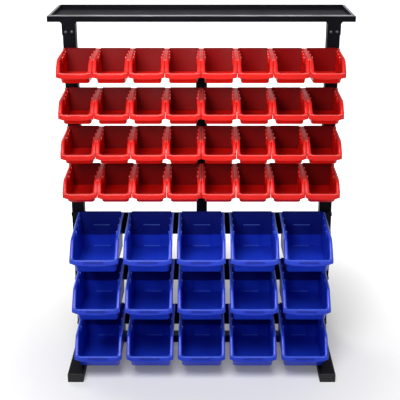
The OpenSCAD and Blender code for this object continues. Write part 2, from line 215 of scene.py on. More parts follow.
def smooth(piece):
    """Shades a piece smooth, apart from its sharp edges."""
    rest()
    bpy.context.view_layer.objects.active = piece
    piece.select_set(True)
    bpy.ops.object.shade_smooth_by_angle(angle=SMOOTH)


# %% [markdown]
# ## The bins
# A hopper bin is one moulding. Its walls lean outwards so that it leaves the mould, and the side walls also
# spread a little towards the back. Its front wall is raked, and its mouth drops from a shoulder to a low lip.
# A rim turns out from the mouth, on the side walls widest at the front, and hangs down as a skirt. The bin
# starts as a box: the back and the top are widened, the upright edges are rounded, the mouth is cut with
# planes, and the rim is extruded from the mouth's edge. Solidify then gives the walls their thickness, which
# is simpler than modelling an inner and an outer wall.

# %% Sizes of the two bins
BIN_BACK = -12.5 * MM
WALL = 2 * MM
DRAFT = 2.2 * MM
LIP_OVERHANG = 6 * MM

# The shoulder has a distance from the back wall and a drop below the rim, and the panel a width and a drop
BINS = {
    "red": dict(
        rows=4, columns=8, base_d=155 * MM, splay=5.2 * MM, hook_w=90 * MM, panel=None,
        shoulder=(145 * MM, 5 * MM), shoulder_round=12 * MM, lip_drop=39 * MM,
        rim_out=9.5 * MM, band=16 * MM, sag=1 * MM, round_sides=False, edge=0.6 * MM),
    "blue": dict(
        rows=3, columns=5, base_d=196 * MM, splay=4.1 * MM, hook_w=130 * MM, panel=(55 * MM, 46 * MM),
        shoulder=(184 * MM, 14 * MM), shoulder_round=28 * MM, lip_drop=66 * MM,
        rim_out=9.5 * MM, band=15 * MM, sag=4 * MM, round_sides=True, edge=0.9 * MM),
}

for colour, size in BINS.items():
    low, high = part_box(f"{colour}_bin_r1_c1")
    size["w"] = high.x - low.x
    size["d"] = BIN_BACK - low.y
    size["h"] = high.z - low.z
    size["hook_reach"] = high.y - BIN_BACK
    size["lip_z"] = size["h"] - size["lip_drop"]
    size["rake"] = (size["d"] - LIP_OVERHANG - size["base_d"]) / size["lip_z"]
    size["half_top"] = size["w"] / 2 - size["rim_out"]
    size["half_floor"] = size["half_top"] - DRAFT
    size["skirt_x"] = size["w"] / 2 - WALL
    size["skirt_y"] = WALL - size["d"]
    print(colour, "bin", [round(size[k] / MM, 1) for k in ("w", "d", "h", "hook_reach")], "mm")

# %% The walls of a bin
ABOVE_RIM = 10 * MM
CORNER = 9 * MM
CORNER_STEPS = 8
BACK_CORNER = 3 * MM
FLOOR_ROUND = 3 * MM
ROUND_STEPS = 3


def leaning_walls(colour, size):
    """An open box, higher than the bin, that widens to the top and to the back and has a raked front."""
    half, base_d = size["half_floor"], size["base_d"]
    top = size["h"] + ABOVE_RIM
    shell = add_box(colour + "_bin", (-half, -base_d, 0), (half, 0, top))
    edit(shell)
    pick("faces", lambda f: f.normal.y > FACING)
    at_back = (half + size["splay"]) / half
    bpy.ops.transform.resize(value=(at_back, 1, 1), center_override=(0, 0, 0))
    pick("faces", lambda f: f.normal.z > FACING)
    at_top = (half + DRAFT * top / size["h"]) / half
    bpy.ops.transform.resize(value=(at_top, 1, 1), center_override=(0, 0, top))
    pick("edges", lambda e: middle(e).z > top - TINY and middle(e).y < -base_d + TINY)
    move(y=-size["rake"] * top)

    def upright(e):
        return abs(e.verts[0].co.z - e.verts[1].co.z) > top / 2

    pick("edges", lambda e: upright(e) and middle(e).y < -CORNER)
    bpy.ops.mesh.bevel(offset=CORNER, segments=CORNER_STEPS, affect="EDGES")
    pick("edges", lambda e: upright(e) and middle(e).y > -TINY)
    bpy.ops.mesh.bevel(offset=BACK_CORNER, segments=ROUND_STEPS, affect="EDGES")
    pick("edges", lambda e: middle(e).z < TINY)
    bevel(FLOOR_ROUND, ROUND_STEPS)
    pick("faces", lambda f: f.normal.z > FACING)
    bpy.ops.mesh.delete(type="FACE")
    return shell


# %% The mouth of a bin
SHOULDER_STEPS = 5
BAND_STEPS = 9


def mouth_corners(size):
    """The mouth's outline in (forward, up): the back, the shoulder and the lip.

    It lies one wall below the finished rim, because the wall's thickness is added on top of it.
    """
    run, drop = size["shoulder"]
    lip_up = size["lip_z"] - WALL
    back = Vector((0, size["h"] - WALL))
    shoulder = Vector((run, size["h"] - drop - WALL))
    lip = Vector((size["base_d"] + size["rake"] * lip_up, lip_up))
    return back, shoulder, lip


def tangent_planes(back, shoulder, lip, radius):
    """Planes (point, normal) of the mouth in (forward, up), with an arc of planes round the shoulder."""
    first = (shoulder - back).normalized()
    second = (lip - shoulder).normalized()
    angle_a = math.atan2(first.x, -first.y)
    angle_b = math.atan2(second.x, -second.y)
    normal_a = Vector((math.cos(angle_a), math.sin(angle_a)))
    normal_b = Vector((math.cos(angle_b), math.sin(angle_b)))
    centre = shoulder - radius * (normal_a + normal_b) / (1 + normal_a.dot(normal_b))
    planes = []
    for i in range(SHOULDER_STEPS + 1):
        angle = angle_a + (angle_b - angle_a) * i / SHOULDER_STEPS
        normal = Vector((math.cos(angle), math.sin(angle)))
        planes.append((centre + radius * normal, normal))
    return planes


def cut_mouth(size):
    """Cuts the mouth, and gives its front edge a few more points, so that the band below it can bow."""
    back, shoulder, lip = mouth_corners(size)
    for point, normal in tangent_planes(back, shoulder, lip, size["shoulder_round"]):
        bpy.ops.mesh.select_all(action="SELECT")
        bpy.ops.mesh.bisect(plane_co=(0, -point.x, point.y), plane_no=(0, -normal.x, normal.y),
                            use_fill=False, clear_outer=True, clear_inner=False)
    ahead = CORNER / 3 - lip.x
    pick("edges", lambda e: e.is_boundary and middle(e).y < ahead and abs(middle(e).x) < TINY)
    bpy.ops.mesh.subdivide(number_cuts=BAND_STEPS)


# %% The rim and its skirt
RIM_SKIRT = 8 * MM


def turn_rim(shell, size):
    """Turns the rim out at the sides and at the front, and hangs its skirt from it."""
    pick("edges", lambda e: e.is_boundary and middle(e).y < -BACK_CORNER)
    mark("mouth")
    bpy.ops.mesh.extrude_edges_move()
    mark("rim")

    # A point at a corner belongs to the side and to the front
    near = CORNER / CORNER_STEPS / 2
    sides, fronts = set(), set()
    mesh = bmesh.from_edit_mesh(shell.data)
    mesh.verts.index_update()
    for v in mesh.verts:
        if marked(v, "rim"):
            to_side = size["half_floor"] + DRAFT * v.co.z / size["h"] - abs(v.co.x)
            to_front = size["base_d"] + size["rake"] * v.co.z + v.co.y
            if to_side - to_front < near:
                sides.add(v.index)
            if to_front - to_side < near:
                fronts.add(v.index)
    for side in (-1, 1):
        pick("verts", lambda v: v.index in sides and v.co.x * side > 0)
        bpy.ops.transform.resize(value=(0, 1, 1), center_override=(side * size["skirt_x"], 0, 0))
    pick("verts", lambda v: v.index in fronts)
    bpy.ops.transform.resize(value=(1, 0, 1), center_override=(0, size["skirt_y"], 0))
    pick("edges", lambda e: e.is_boundary and marked(e, "rim"))
    bpy.ops.mesh.extrude_edges_move(TRANSFORM_OT_translate={"value": (0, 0, WALL - RIM_SKIRT)})
    mark("skirt")


# %% The band under the lip
CORNER_LIFTS = ((CORNER, 0.4 * MM), (CORNER / 2, 1 * MM), (TINY, 2 * MM))


def shape_band(size):
    """Makes the skirt under the lip a deeper band, bowed down in the middle, with round lower corners."""
    _, shoulder, lip = mouth_corners(size)
    front = -(shoulder.x + lip.x) / 2
    pick("verts", lambda v: marked(v, "skirt") and v.co.y < front)
    move(z=RIM_SKIRT - size["band"])
    half = size["half_top"] - CORNER
    near = half / BAND_STEPS / 2
    for i in range(1, BAND_STEPS + 1):
        at = (2 * i / (BAND_STEPS + 1) - 1) * half
        pick("verts", lambda v: marked(v, "skirt") and v.co.y < front and abs(v.co.x - at) < near)
        move(z=-size["sag"] * (1 - (at / half) ** 2))
    for reach, lift in CORNER_LIFTS:
        ahead = size["skirt_y"] + reach
        aside = size["skirt_x"] - reach
        pick("verts", lambda v: marked(v, "skirt") and v.co.y < ahead and abs(v.co.x) > aside)
        move(z=lift)


# %% Rounding and thickening the shell
RIM_ROUND = 1.6 * MM
LIP_ROUND = 2 * MM


def round_rim(size):
    """Rounds the mouth's edge, the rim's outer edge at the front, and at the sides if they are round."""
    pick("edges", lambda e: marked(e, "mouth"))
    bevel(RIM_ROUND, ROUND_STEPS)

    def outer_edge(e):
        ahead = all(v.co.y < size["skirt_y"] + TINY for v in e.verts)
        beside = all(abs(v.co.x) > size["skirt_x"] - TINY for v in e.verts)
        first, second = (v.co for v in e.verts)
        along_rim = abs(first.x - second.x) > TINY if ahead else abs(first.y - second.y) > TINY
        rounded = ahead or beside and size["round_sides"]
        return not e.is_boundary and (ahead and beside or rounded and along_rim)

    pick("edges", outer_edge)
    bevel(LIP_ROUND, ROUND_STEPS)


def bin_shell(colour, size):
    """One bin without its small features."""
    shell = leaning_walls(colour, size)
    cut_mouth(size)
    turn_rim(shell, size)
    shape_band(size)
    round_rim(size)
    bpy.ops.mesh.select_all(action="SELECT")
    bpy.ops.mesh.remove_doubles(threshold=TINY)
    bpy.ops.mesh.normals_make_consistent(inside=False)
    mesh = bmesh.from_edit_mesh(shell.data)
    floor = min(mesh.faces, key=lambda f: middle(f).z)
    if floor.normal.z > 0:
        bpy.ops.mesh.flip_normals()
    finish_modifier(shell, "SOLIDIFY", thickness=WALL, offset=-1, use_even_offset=True,
                    use_quality_normals=True)
    round_edges(shell, size["edge"])
    return shell


shells = {colour: bin_shell(colour, size) for colour, size in BINS.items()}
for colour, shell in shells.items():
    box = [round(v / MM, 1) for v in shell.dimensions]
    print(colour, "shell:", len(shell.data.polygons), "faces, size", box, "mm")

# %% [markdown]
# ## Hooks, divider ribs and the back panel
# The hook on the back wall lies over the rail's lip and a tongue hangs down behind it. Three ribs on each
# side wall hold a divider, and their lit tops make the dotted line beside the rim. The blue bins also have a
# raised panel on the back wall and a shallow label slot in the band. These are small boxes, shaped and
# rounded, then united with the shell. A boolean keeps them crisp and leaves the shell's own rounding alone.

# %% The hook
HOOK_T = 3 * MM
TONGUE_T = 2.5 * MM
HOOK_DROP = 10 * MM
HOOK_ROUND = 2.2 * MM
SOFT_EDGE = 0.6 * MM


def hook(size):
    """The plate over the rail's lip, with its tongue extruded down from the rear strip."""
    h, reach = size["h"], size["hook_reach"]
    half = size["hook_w"] / 2
    piece = add_box("hook", (-half, -WALL / 2, h - HOOK_T), (half, reach, h))
    edit(piece)
    bpy.ops.mesh.select_all(action="SELECT")
    bpy.ops.mesh.bisect(plane_co=(0, reach - TONGUE_T, 0), plane_no=(0, 1, 0))
    pick("faces", lambda f: f.normal.z < -FACING and middle(f).y > reach - TONGUE_T)
    bpy.ops.mesh.extrude_region_move(TRANSFORM_OT_translate={"value": (0, 0, -HOOK_DROP)})
    pick("edges", lambda e: middle(e).y > reach - TINY and middle(e).z > h - TINY)
    bpy.ops.mesh.bevel(offset=HOOK_ROUND, segments=ROUND_STEPS, affect="EDGES")
    round_edges(piece, SOFT_EDGE)
    return piece


# %% The divider ribs
RIB_COUNT = 3
RIB_W = 4 * MM
RIB_H = 22 * MM
RIB_OUT = 3 * MM
RIB_BELOW = 1.5 * MM
RIB_EDGE = 0.4 * MM


def ribs(size):
    """Upright ribs on both side walls, each a little below the rim."""
    run, drop = size["shoulder"]
    made = []
    for side in (-1, 1):
        for i in range(1, RIB_COUNT + 1):
            at = run * i / (RIB_COUNT + 1)
            up = size["h"] - drop * at / run - RIB_BELOW
            wall = size["half_top"] - WALL + size["splay"] * (1 - at / size["base_d"])
            near, far = sorted((side * (wall - RIB_OUT), side * (wall + WALL / 2)))
            rib = add_box("rib", (near, -at - RIB_W / 2, up - RIB_H), (far, -at + RIB_W / 2, up))
            round_edges(rib, RIB_EDGE)
            made.append(rib)
    return made


# %% The back panel and the label slot
PANEL_OUT = 2 * MM
SLOT_W = 62 * MM
SLOT_H = 8 * MM
SLOT_IN = 1.6 * MM
SLOT_LEAN = 1.2 * MM


def back_panel(size):
    """The raised panel inside the back wall, with a foot where it meets the floor."""
    width, drop = size["panel"]
    foot = WALL + PANEL_OUT
    panel = add_box("panel", (-width / 2, -foot, WALL / 2), (width / 2, -WALL / 2, size["h"] - drop))
    edit(panel)
    bpy.ops.mesh.select_all(action="SELECT")
    bpy.ops.mesh.bisect(plane_co=(0, 0, foot), plane_no=(0, 0, 1))
    pick("faces", lambda f: f.normal.y < -FACING and middle(f).z < foot)
    bpy.ops.mesh.extrude_region_move(TRANSFORM_OT_translate={"value": (0, -PANEL_OUT, 0)})
    round_edges(panel, SOFT_EDGE)
    return panel


def slot_low(size):
    """The height of the slot's lower edge. The slot is in the middle of the band."""
    return size["lip_z"] - (size["band"] + SLOT_H) / 2


def label_slot(size):
    """A cutter for the label slot, whose upper rear edge leans forward."""
    front, low = -size["d"], slot_low(size)
    slot = add_box("slot", (-SLOT_W / 2, front - WALL, low), (SLOT_W / 2, front + SLOT_IN, low + SLOT_H))
    edit(slot)
    pick("edges", lambda e: middle(e).y > front and middle(e).z > low + SLOT_H - TINY)
    move(y=-SLOT_LEAN)
    return slot


# %% Unite each bin with its small features
for colour, size in BINS.items():
    extras = [hook(size)] + ribs(size)
    if size["panel"]:
        extras.append(back_panel(size))
    fuse(shells[colour], join(extras))
    if size["panel"]:
        fuse(shells[colour], label_slot(size), "DIFFERENCE")
    smooth(shells[colour])
    print(colour, "bin:", len(shells[colour].data.polygons), "faces")

# %% [markdown]
# ## Hanging the bins
# Every bin is a copy with its own mesh. The copy's place comes from the box of the CAD bin it stands for, and
# it rides on that bin's body, so it lifts off its rail when the joint moves.

# %% Copy each bin to its place
bin_pieces = {"red": [], "blue": []}
for colour, size in BINS.items():
    for row in range(1, size["rows"] + 1):
        for column in range(1, size["columns"] + 1):
            node = f"{colour}_bin_r{row}_c{column}"
            low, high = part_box(node)
            piece = shells[colour].copy()
            piece.data = shells[colour].data.copy()
            piece.name = node + "_moulding"
            piece.data.transform(Matrix.Translation(((low.x + high.x) / 2, BIN_BACK, low.z)))
            bpy.context.scene.collection.objects.link(piece)
            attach(piece, node)
            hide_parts(node)
            colour + "_plastic"
            bin_pieces[colour].append(piece)
    bpy.data.objects.remove(shells[colour])
    print(colour, "bins hung:", len(bin_pieces[colour]))

# %% [markdown]
# ## Folded sheet
# The tray, the rails and the centre strut are folded from sheet steel. The tray starts as a box without its
# underside: the top is inset for the rim and pushed down for the pan. A rail is a strip that is extruded edge
# by edge through the corners of its section. In both, the fold lines are rounded first and the sheet is
# thickened after that, so the inside and the outside of a fold stay parallel.

# %% Helpers for sheet
SHEET = 1.5 * MM
SHEET_EDGE = 0.3 * MM
FOLD = 2 * MM
FOLD_STEPS = 4
FOLD_ANGLE = math.radians(40)


def round_folds(piece):
    """Rounds every fold of an open sheet."""
    edit(piece)
    pick("edges", lambda e: len(e.link_faces) == 2 and e.calc_face_angle() > FOLD_ANGLE)
    bevel(FOLD, FOLD_STEPS)


def thicken(piece):
    """Gives an open sheet its thickness."""
    finish_modifier(piece, "SOLIDIFY", thickness=SHEET, offset=-1, use_even_offset=True)
    round_edges(piece, SHEET_EDGE)
    smooth(piece)


def dress(piece, node):
    """Lets a frame piece ride on the frame and stand for a CAD node."""
    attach(piece, "frame")
    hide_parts(node)
    print(piece.name, "for", node + ":", len(piece.data.polygons), "faces")


# %% Fold the tray
TRAY_RIM = 12 * MM
TRAY_INSIDE = 13 * MM
TRAY_ROLL = 5 * MM
ROLL_STEPS = 6


def folded_tray():
    """The tray, with its outer top edge rolled over."""
    low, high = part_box("top_tray")
    piece = add_box("top_tray_sheet", low, high)
    edit(piece)
    pick("faces", lambda f: f.normal.z < -FACING)
    bpy.ops.mesh.delete(type="FACE")
    pick("faces", lambda f: f.normal.z > FACING)
    bpy.ops.mesh.inset(thickness=TRAY_RIM)
    bpy.ops.mesh.extrude_region_move(TRANSFORM_OT_translate={"value": (0, 0, -TRAY_INSIDE)})

    def outer_top(e):
        at = middle(e)
        inside = abs(at.x) < high.x - TINY and low.y + TINY < at.y < high.y - TINY
        return at.z > high.z - TINY and not inside

    pick("edges", outer_top)
    bpy.ops.mesh.bevel(offset=TRAY_ROLL, segments=ROLL_STEPS, affect="EDGES")
    round_folds(piece)
    thicken(piece)
    return piece


tray = folded_tray()
dress(tray, "top_tray")

# %% A strip folded through corners
HALF_PLANE = 0.5


def folded_strip(name, length, corners):
    """A sheet along X, folded through (y, z) corners. Its thickness goes to the side of the first corner."""
    rest()
    bpy.ops.mesh.primitive_plane_add(size=2 * HALF_PLANE)
    piece = bpy.context.object
    piece.name = name
    piece.scale = (length, 1, 1)
    bpy.ops.object.transform_apply(location=True, rotation=True, scale=True)
    edit(piece)
    pick("verts", lambda v: v.co.y > HALF_PLANE - TINY)
    move(y=corners[1][0] - HALF_PLANE, z=corners[1][1])
    pick("verts", lambda v: v.co.y < TINY - HALF_PLANE)
    move(y=corners[0][0] + HALF_PLANE, z=corners[0][1])
    for (y, z), (next_y, next_z) in zip(corners[1:], corners[2:]):
        pick("edges", lambda e: all(abs(v.co.y - y) + abs(v.co.z - z) < TINY for v in e.verts))
        bpy.ops.mesh.extrude_edges_move(TRANSFORM_OT_translate={"value": (0, next_y - y, next_z - z)})
    bpy.ops.mesh.select_all(action="SELECT")
    bpy.ops.mesh.normals_make_consistent(inside=False)
    mesh = bmesh.from_edit_mesh(piece.data)
    web = max(mesh.faces, key=lambda f: f.calc_area())
    if web.normal.y * (corners[0][0] - middle(web).y) > 0:
        bpy.ops.mesh.flip_normals()
    round_folds(piece)
    thicken(piece)
    return piece


def copies(piece, name, places):
    """One piece made of a copy at each place. A place is a matrix."""
    made = []
    for place in places:
        copy = piece.copy()
        copy.data = piece.data.copy()
        copy.data.transform(place)
        bpy.context.scene.collection.objects.link(copy)
        made.append(copy)
    bpy.data.objects.remove(piece)
    whole = join(made)
    whole.name = name
    return whole


# %% Fold the rails
RAIL_H = 78 * MM
RAIL_D = 12 * MM
RAIL_LIP = 14 * MM
RAIL_FOOT_LIP = 10 * MM

shelf = RAIL_H - RAIL_LIP
section = [(-RAIL_D, RAIL_FOOT_LIP), (-RAIL_D, 0), (0, 0), (0, shelf), (SHEET - RAIL_D, shelf),
           (SHEET - RAIL_D, RAIL_H)]
rail_low, rail_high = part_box("red_bin_rails")
rail_z = {}
rails = []
for colour, size in BINS.items():
    size["rail_foot"] = size["h"] - HOOK_T - RAIL_H
    floors = [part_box(f"{colour}_bin_r{row}_c1")[0].z for row in range(1, size["rows"] + 1)]
    rail_z[colour] = [z + size["rail_foot"] for z in floors]
    rail = folded_strip(colour + "_rail", rail_high.x - rail_low.x, section)
    rail = copies(rail, colour + "_rail_sheets", [Matrix.Translation((0, 0, z)) for z in rail_z[colour]])
    dress(rail, colour + "_bin_rails")
    rails.append(rail)

# %% Fold the strut
STRUT_W = 35 * MM
STRUT_D = 15 * MM

low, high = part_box("centre_strut")
channel = [(STRUT_D, -STRUT_W / 2), (0, -STRUT_W / 2), (0, STRUT_W / 2), (STRUT_D, STRUT_W / 2)]
strut = folded_strip("centre_strut_sheet", high.z - low.z, channel)
upended = Matrix.Rotation(math.radians(90), 4, "Y")
strut.data.transform(Matrix.Translation((0, 0, (low.z + high.z) / 2)) @ upended)
dress(strut, "centre_strut")

# %% [markdown]
# ## Fasteners and end caps
# One hex bolt of each length and one nut are modelled and copied to their places. A cylinder with six sides
# is a hexagon already. Its chamfer is the end face inset a little, with its outer points pulled back. The end
# caps of the feet are rounded plugs.

# %% Helpers for fasteners
HEX_SIDES = 6
ROUND_SIDES = 24
CHAMFER = 0.8 * MM
CHAMFER_BACK = 0.48 * MM


def add_prism(name, sides, radius, front, back):
    """A prism along Y."""
    rest()
    bpy.ops.mesh.primitive_cylinder_add(
        vertices=sides, radius=radius, depth=back - front, location=(0, (front + back) / 2, 0),
        rotation=(math.radians(90), 0, 0))
    piece = bpy.context.object
    piece.name = name
    bpy.ops.object.transform_apply(location=True, rotation=True, scale=True)
    return piece


def chamfer(piece, at, inward, radius):
    """Chamfers the end of a prism that lies at y = at."""
    edit(piece)
    pick("faces", lambda f: abs(middle(f).y - at) < TINY and abs(f.normal.y) > FACING)
    bpy.ops.mesh.inset(thickness=CHAMFER)
    outer = radius - CHAMFER / 2
    pick("verts", lambda v: abs(v.co.y - at) < TINY and math.hypot(v.co.x, v.co.z) > outer)
    move(y=inward * CHAMFER_BACK)
    rest()


# %% One bolt and one nut
BOLT_R = 2.5 * MM
BOLT_PAST = 2 * MM
BORE_PLAY = 0.1 * MM
HEX_R = 8 * MM / math.sqrt(3)
HEAD_H = 3.5 * MM
NUT_H = 4 * MM


def bolt(grip):
    """A hex bolt that holds this thickness between its head and its nut."""
    head = add_prism("bolt", HEX_SIDES, HEX_R, -HEAD_H, 0)
    chamfer(head, -HEAD_H, 1, HEX_R)
    tip = grip + NUT_H + BOLT_PAST
    shank = add_prism("shank", ROUND_SIDES, BOLT_R, -HEAD_H / 2, tip)
    chamfer(shank, tip, -1, BOLT_R)
    fuse(head, shank)
    smooth(head)
    return head


nut = add_prism("nut", HEX_SIDES, HEX_R, 0, NUT_H)
chamfer(nut, NUT_H, -1, HEX_R)
bore = add_prism("bore", ROUND_SIDES, BOLT_R + BORE_PLAY, -CHAMFER, NUT_H + CHAMFER)
fuse(nut, bore, "DIFFERENCE")
smooth(nut)
print("nut:", len(nut.data.polygons), "faces")

# %% Where the bolts go
BOLT_UPS = (20 * MM, 46 * MM)
BRACKET_BOLT = (9.5 * MM, 10 * MM)
FOOT_BOLT = (20 * MM, 75 * MM)
FOOT_BOLT_GRIP = 6 * MM
UPRIGHT_D = 40 * MM

upright_low, upright_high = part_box("right_upright")
upright_x = (upright_low.x + upright_high.x) / 2
bracket_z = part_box("tray_brackets")[0].z
all_rails = [z for levels in rail_z.values() for z in levels]
strut_at = [Vector((0, 0, z + sum(BOLT_UPS) / 2)) for z in all_rails]
post_at = []
foot_at = []
for side in (-1, 1):
    post_at += [Vector((side * upright_x, 0, z + up)) for z in all_rails for up in BOLT_UPS]
    post_at += [Vector((side * upright_x + hand * BRACKET_BOLT[0], 0, bracket_z + BRACKET_BOLT[1]))
                for hand in (-1, 1)]
    inner_face = Matrix.Translation((side * (upright_x - UPRIGHT_D / 2), *FOOT_BOLT))
    foot_at.append(inner_face @ Matrix.Rotation(math.radians(-90 * side), 4, "Z"))
print("bolts:", len(post_at), "in the uprights,", len(strut_at), "in the strut,", len(foot_at), "in the feet")

# %% Copy the bolts and nuts


def moved(places, y):
    """Matrices for the places, each moved along Y."""
    return [Matrix.Translation(place + Vector((0, y, 0))) for place in places]


bolts = join([copies(bolt(SHEET + UPRIGHT_D), "bolts", moved(post_at, -SHEET)),
              copies(bolt(2 * SHEET), "strut_bolts", moved(strut_at, -SHEET)),
              copies(bolt(FOOT_BOLT_GRIP), "foot_bolts", foot_at)])
bolts.name = "hex_bolts"
nuts = copies(nut, "hex_nuts", moved(post_at, UPRIGHT_D) + moved(strut_at, SHEET))
dress(bolts, "bolts")
dress(nuts, "nuts")

# %% End caps of the feet
FOOT_W = 50 * MM
FOOT_H = 30 * MM
CAP_T = 3 * MM
CAP_EDGE = 1 * MM
CAP_PLUG = 14 * MM
CAP_INSET = 2 * MM
CAP_STEPS = 4
GROOVES = 4
GROOVE_W = 1.6 * MM
GROOVE_IN = 0.9 * MM


def end_cap(front):
    """A rounded plate with grooves in its face, at y = front, and a plug that goes into the foot."""
    cap = add_box("cap", (-FOOT_W / 2, front, 0), (FOOT_W / 2, front + CAP_T, FOOT_H))
    edit(cap)
    pick("edges", lambda e: abs(e.verts[0].co.y - e.verts[1].co.y) > CAP_T / 2)
    bpy.ops.mesh.bevel(offset=CAP_T, segments=CAP_STEPS, affect="EDGES")
    round_edges(cap, CAP_EDGE)
    grooves = []
    for i in range(1, GROOVES + 1):
        up = FOOT_H * i / (GROOVES + 1)
        grooves.append(add_box("groove", (-FOOT_W, front - CAP_T, up - GROOVE_W / 2),
                               (FOOT_W, front + GROOVE_IN, up + GROOVE_W / 2)))
    fuse(cap, join(grooves), "DIFFERENCE")
    plug = add_box("plug", (CAP_INSET - FOOT_W / 2, front + CAP_T / 2, CAP_INSET),
                   (FOOT_W / 2 - CAP_INSET, front + CAP_T + CAP_PLUG, FOOT_H - CAP_INSET))
    fuse(cap, plug)
    smooth(cap)
    return cap


low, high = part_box("foot_end_caps")
foot_x = high.x - FOOT_W / 2
ends = [Matrix.Translation((side * foot_x, 0, 0)) @ Matrix.Rotation(turn, 4, "Z")
        for side in (-1, 1) for turn in (0, math.pi)]
caps = copies(end_cap(low.y), "foot_plugs", ends)
dress(caps, "foot_end_caps")

# %% [markdown]
# ## Finishes
# A finish is a small node tree. The wrapper below lets a line such as 0.3 + 0.1 * clouds add the nodes for
# it, and one method adds any other node. Patterns read Object coordinates, which are metres here, so a scale
# of 1000 makes spots of about a millimetre.

# %% A wrapper for shader maths


class Wire:
    """An output socket of a finish. Maths on wires adds Math nodes."""

    def __init__(self, finish, socket):
        self.finish = finish
        self.socket = socket

    def math(self, operation, first, second):
        return self.finish.add("ShaderNodeMath", {"operation": operation}, {0: first, 1: second})

    def __add__(self, other):
        return self.math("ADD", self, other)

    def __sub__(self, other):
        return self.math("SUBTRACT", self, other)

    def __mul__(self, other):
        return self.math("MULTIPLY", self, other)

    def __mod__(self, other):
        return self.math("FLOORED_MODULO", self, other)

    def __radd__(self, other):
        return self.math("ADD", other, self)

    def __rsub__(self, other):
        return self.math("SUBTRACT", other, self)

    def __rmul__(self, other):
        return self.math("MULTIPLY", other, self)


# %% A finish and its nodes
BUMP_DEPTH = 0.2 * MM


class Finish:
    """A material whose nodes are added one call at a time."""

    def __init__(self, name, **constants):
        self.material = bpy.data.materials.new(name)
        self.material.use_nodes = True
        self.nodes = self.material.node_tree.nodes
        self.links = self.material.node_tree.links
        self.shader = self.nodes["Principled BSDF"]
        self.place = self.add("ShaderNodeTexCoord", {}, {}, "Object")
        self.set(**constants)

    def feed(self, socket, value):
        """Links a wire to a socket, or sets the socket's value."""
        if isinstance(value, Wire):
            self.links.new(value.socket, socket)
        else:
            socket.default_value = value

    def add(self, kind, settings, inputs, output=0):
        """Adds any node, with its settings and what feeds it, and gives one of its outputs."""
        node = self.nodes.new(kind)
        for name, value in settings.items():
            if name == "stops":
                for stop, position in zip(node.color_ramp.elements, value):
                    stop.position = position
            else:
                setattr(node, name, value)
        for socket, value in inputs.items():
            self.feed(node.inputs[socket], value)
        return Wire(self, node.outputs[output])

    def noise(self, scale, detail=2, stretch=(1, 1, 1)):
        place = self.add("ShaderNodeMapping", {}, {"Vector": self.place, "Scale": stretch})
        spots = {"Vector": place, "Scale": scale, "Detail": detail}
        return self.add("ShaderNodeTexNoise", {}, spots, "Fac")

    def ramp(self, value, stops):
        return self.add("ShaderNodeValToRGB", {"stops": stops}, {"Fac": value}, "Color")

    def size_of(self, value):
        return self.add("ShaderNodeMath", {"operation": "ABSOLUTE"}, {0: value})

    def along(self, axis):
        return self.add("ShaderNodeSeparateXYZ", {}, {"Vector": self.place}, axis)

    def rise(self, value, low, high):
        """0 below low and 1 above high, with a smooth step between."""
        return self.add("ShaderNodeMapRange", {"interpolation_type": "SMOOTHSTEP"},
                        {"Value": value, "From Min": low, "From Max": high})

    def blend(self, factor, first, second):
        return self.add("ShaderNodeMix", {"data_type": "RGBA"}, {0: factor, 6: first, 7: second}, 2)

    def bump(self, height, strength):
        relief = {"Height": height, "Strength": strength, "Distance": BUMP_DEPTH}
        return self.add("ShaderNodeBump", {}, relief)

    def set(self, **sockets):
        """Feeds the shader's own sockets, such as Base Color for base_color."""
        for name, value in sockets.items():
            label = name.replace("_", " ").title().replace("Ior", "IOR")
            self.feed(self.shader.inputs[label], value)
        return self.material


# %% [markdown]
# The bins are injection-moulded polypropylene: evenly coloured, half glossy, with a fine grain from the
# mould, faint flow clouds and light scuffs where parts have been dropped in. The walls are thin enough to let
# some light through, and painted shade darkens the back wall where the black rail stands behind it. The rail
# covers the whole back of a red bin and the upper part of a blue one. Painted shade also darkens the bottom
# of the label slot, and painted highlights lighten the rim's edges, the lip's front edge and the panel's
# ledges.
# All bins of one colour share one finish, so a point's place is first worked out within its own bin, and each
# mask then reads that place.

# %% A point's place in its own bin


class BinPlace:
    """A point's way up from its bin's floor, forward from its back and across from its middle."""

    def __init__(self, finish, colour):
        size = BINS[colour]
        first, beside, below, last = (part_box(f"{colour}_bin_{at}")[0]
                                      for at in ("r1_c1", "r1_c2", "r2_c1", f"r{size['rows']}_c1"))
        gap = beside.x - first.x
        left = first.x + size["w"] / 2 - gap / 2
        self.up = (finish.along("Z") - last.z) % (first.z - below.z)
        self.forward = BIN_BACK - finish.along("Y")
        self.across = finish.size_of((finish.along("X") - left) % gap - gap / 2)


# %% Masks for the painted highlights on the edges of a bin
EDGE = 0.6 * MM
RIM_BEHIND = (3 * MM, 6 * MM)
RIM_BELOW = (2 * MM, 4 * MM)
OUTER_LINE = (4.5 * MM, 3.5 * MM)
OUTER_SHARE = {"red": 0.3, "blue": 0.8}
LIP_LINE = (7 * MM, 5 * MM)
LIP_BELOW = 2 * MM
LEDGE_NEAR = (1 * MM, 2 * MM)


def rim_highlights(finish, colour, at):
    """A painted highlight on the inner edge of the side walls' rim, and in part on its outer edge."""
    size = BINS[colour]
    run, drop = size["shoulder"]
    below = size["h"] - at.up - (drop / run) * at.forward
    on_rim = finish.rise(at.forward, *RIM_BEHIND) * (1 - finish.rise(below, *RIM_BELOW))
    wall = size["half_top"] - WALL + size["splay"] - (size["splay"] / size["base_d"]) * at.forward
    inner = finish.rise(wall - at.across, 0, EDGE)
    side = size["w"] / 2
    outer = finish.rise(at.across, side - OUTER_LINE[0], side - OUTER_LINE[1])
    return on_rim * (inner + OUTER_SHARE[colour] * outer)


def lip_highlight(finish, size, at):
    """A painted highlight along the front edge of the lip."""
    ahead = finish.rise(at.forward, size["d"] - LIP_LINE[0], size["d"] - LIP_LINE[1])
    return ahead * finish.rise(at.up, size["lip_z"] - LIP_BELOW, size["lip_z"])


